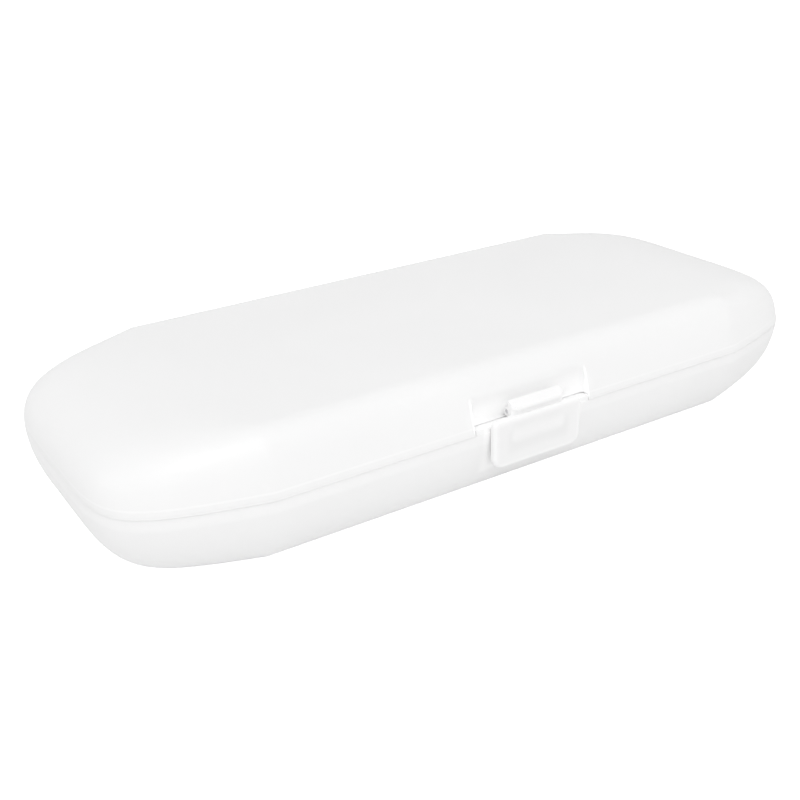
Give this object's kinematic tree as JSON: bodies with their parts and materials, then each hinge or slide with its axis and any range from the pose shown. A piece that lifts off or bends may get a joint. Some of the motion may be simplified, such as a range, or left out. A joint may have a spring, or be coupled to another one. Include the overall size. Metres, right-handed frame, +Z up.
{
  "type": "toothbrush sanitizer case",
  "caption": "Slim frosted travel case with a hinged lid and a rocking front clasp, which holds a toothbrush in a tray beside a small battery-powered ultraviolet lamp module.",
  "frame": {"origin": "centre of the footprint, on the surface the case stands on", "axes": "+X along the case's length, +Z up, -Y towards the side with the clasp"},
  "size_m": [0.21, 0.0942, 0.034],
  "materials": {
    "frosted_shell": "frosted translucent polypropylene, fine satin texture",
    "frosted_clasp": "frosted translucent polypropylene, satin",
    "steel": "drawn wire",
    "tray_white": "moulded, satin",
    "bright_metal": "polished sheet",
    "module_white": "moulded, fine grain",
    "cell_sleeve": "printed shrink sleeve, plain",
    "nickel": "nickel plated",
    "board": "white solder mask",
    "black_package": "moulded epoxy",
    "copper_coil": "enamelled wire",
    "can_metal": "drawn can",
    "pale_package": "moulded",
    "button_grey": "soft satin",
    "clear_plastic": "clear moulded",
    "lamp_board": "white solder mask on aluminium",
    "lamp_package": "ceramic package with clear dome",
    "window_glass": "clear quartz",
    "wire_sleeve": "silicone sleeve",
    "pad_rubber": "soft silicone",
    "screw_steel": "zinc plated"
  },
  "bodies": {
    "base": {"base_shell": "frosted_shell", "hinge_pins": "steel", "brush_tray": "tray_white", "tray_reflector": "bright_metal", "module_housing": "module_white", "module_cover": "module_white", "battery_cell_front": "cell_sleeve", "battery_cell_rear": "cell_sleeve", "battery_springs": "nickel", "terminal_plates": "nickel", "bridge_plate": "nickel", "circuit_board": "board", "control_chip": "black_package", "boost_coil": "copper_coil", "storage_capacitors": "can_metal", "reed_sensor": "pale_package", "tact_switch": "black_package", "status_led": "pale_package", "light_guide": "clear_plastic", "lamp_board": "lamp_board", "lamp_leds": "lamp_package", "lamp_window": "window_glass", "lamp_wires": "wire_sleeve", "cover_screws": "screw_steel", "module_screws": "screw_steel", "board_screws": "screw_steel"},
    "lid": {"lid_shell": "frosted_shell", "clasp_pin": "steel", "lid_magnet": "nickel", "hold_down_pads": "pad_rubber"},
    "clasp": {"clasp": "frosted_clasp"},
    "battery_door": {"battery_door": "module_white"},
    "cycle_button": {"cycle_button": "button_grey"}
  },
  "joints": [
    {"name": "lid_hinge", "type": "hinge", "parent": "base", "child": "lid", "pos_m": [0, 0.04515, 0.0195], "axis": [-1, 0, 0], "range_deg": [0, 120]},
    {"name": "clasp_rock", "type": "hinge", "parent": "lid", "child": "clasp", "pos_m": [0, -0.044, 0.023], "axis": [-1, 0, 0], "range_deg": [0, 30]},
    {"name": "battery_door_slide", "type": "slide", "parent": "base", "child": "battery_door", "axis": [-1, 0, 0], "range_m": [0, 0.012]},
    {"name": "button_press", "type": "slide", "parent": "base", "child": "cycle_button", "axis": [0, 0, -1], "range_m": [0, 0.0008], "stiffness_N_per_m": 400}
  ]
}
